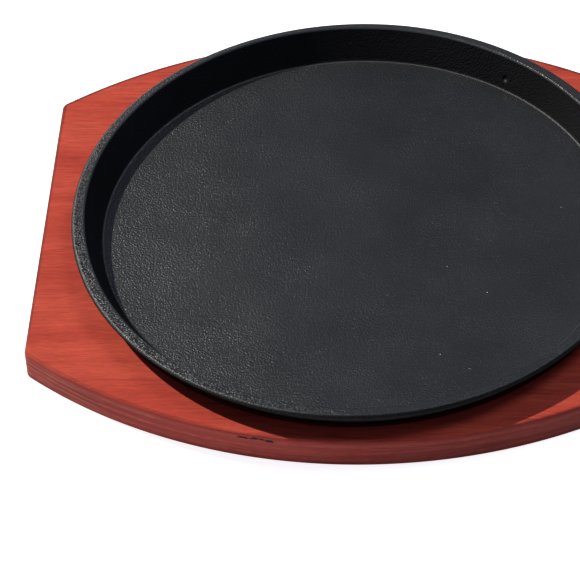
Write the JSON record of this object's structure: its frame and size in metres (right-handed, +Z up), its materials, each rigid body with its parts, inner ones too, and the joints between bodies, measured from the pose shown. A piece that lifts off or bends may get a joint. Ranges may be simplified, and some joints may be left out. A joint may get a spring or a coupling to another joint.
{
  "type": "sizzle platter",
  "caption": "Shallow round cast iron platter seated in the routed recess of a red stained plywood base with bowed sides, for serving food while it sizzles.",
  "frame": {"origin": "centre of the wooden base's underside, on the platter's axis", "axes": "+X towards a straight end of the base, +Y towards a bowed side, +Z up out of the platter"},
  "size_m": [0.255, 0.235, 0.024],
  "materials": {
    "stained_plywood": "red stained, satin, with darker plies at the edge",
    "seasoned_iron": "black, matt, fine cast grain"
  },
  "bodies": {
    "root": {"wooden_base": "stained_plywood", "platter": "seasoned_iron"}
  },
  "joints": []
}
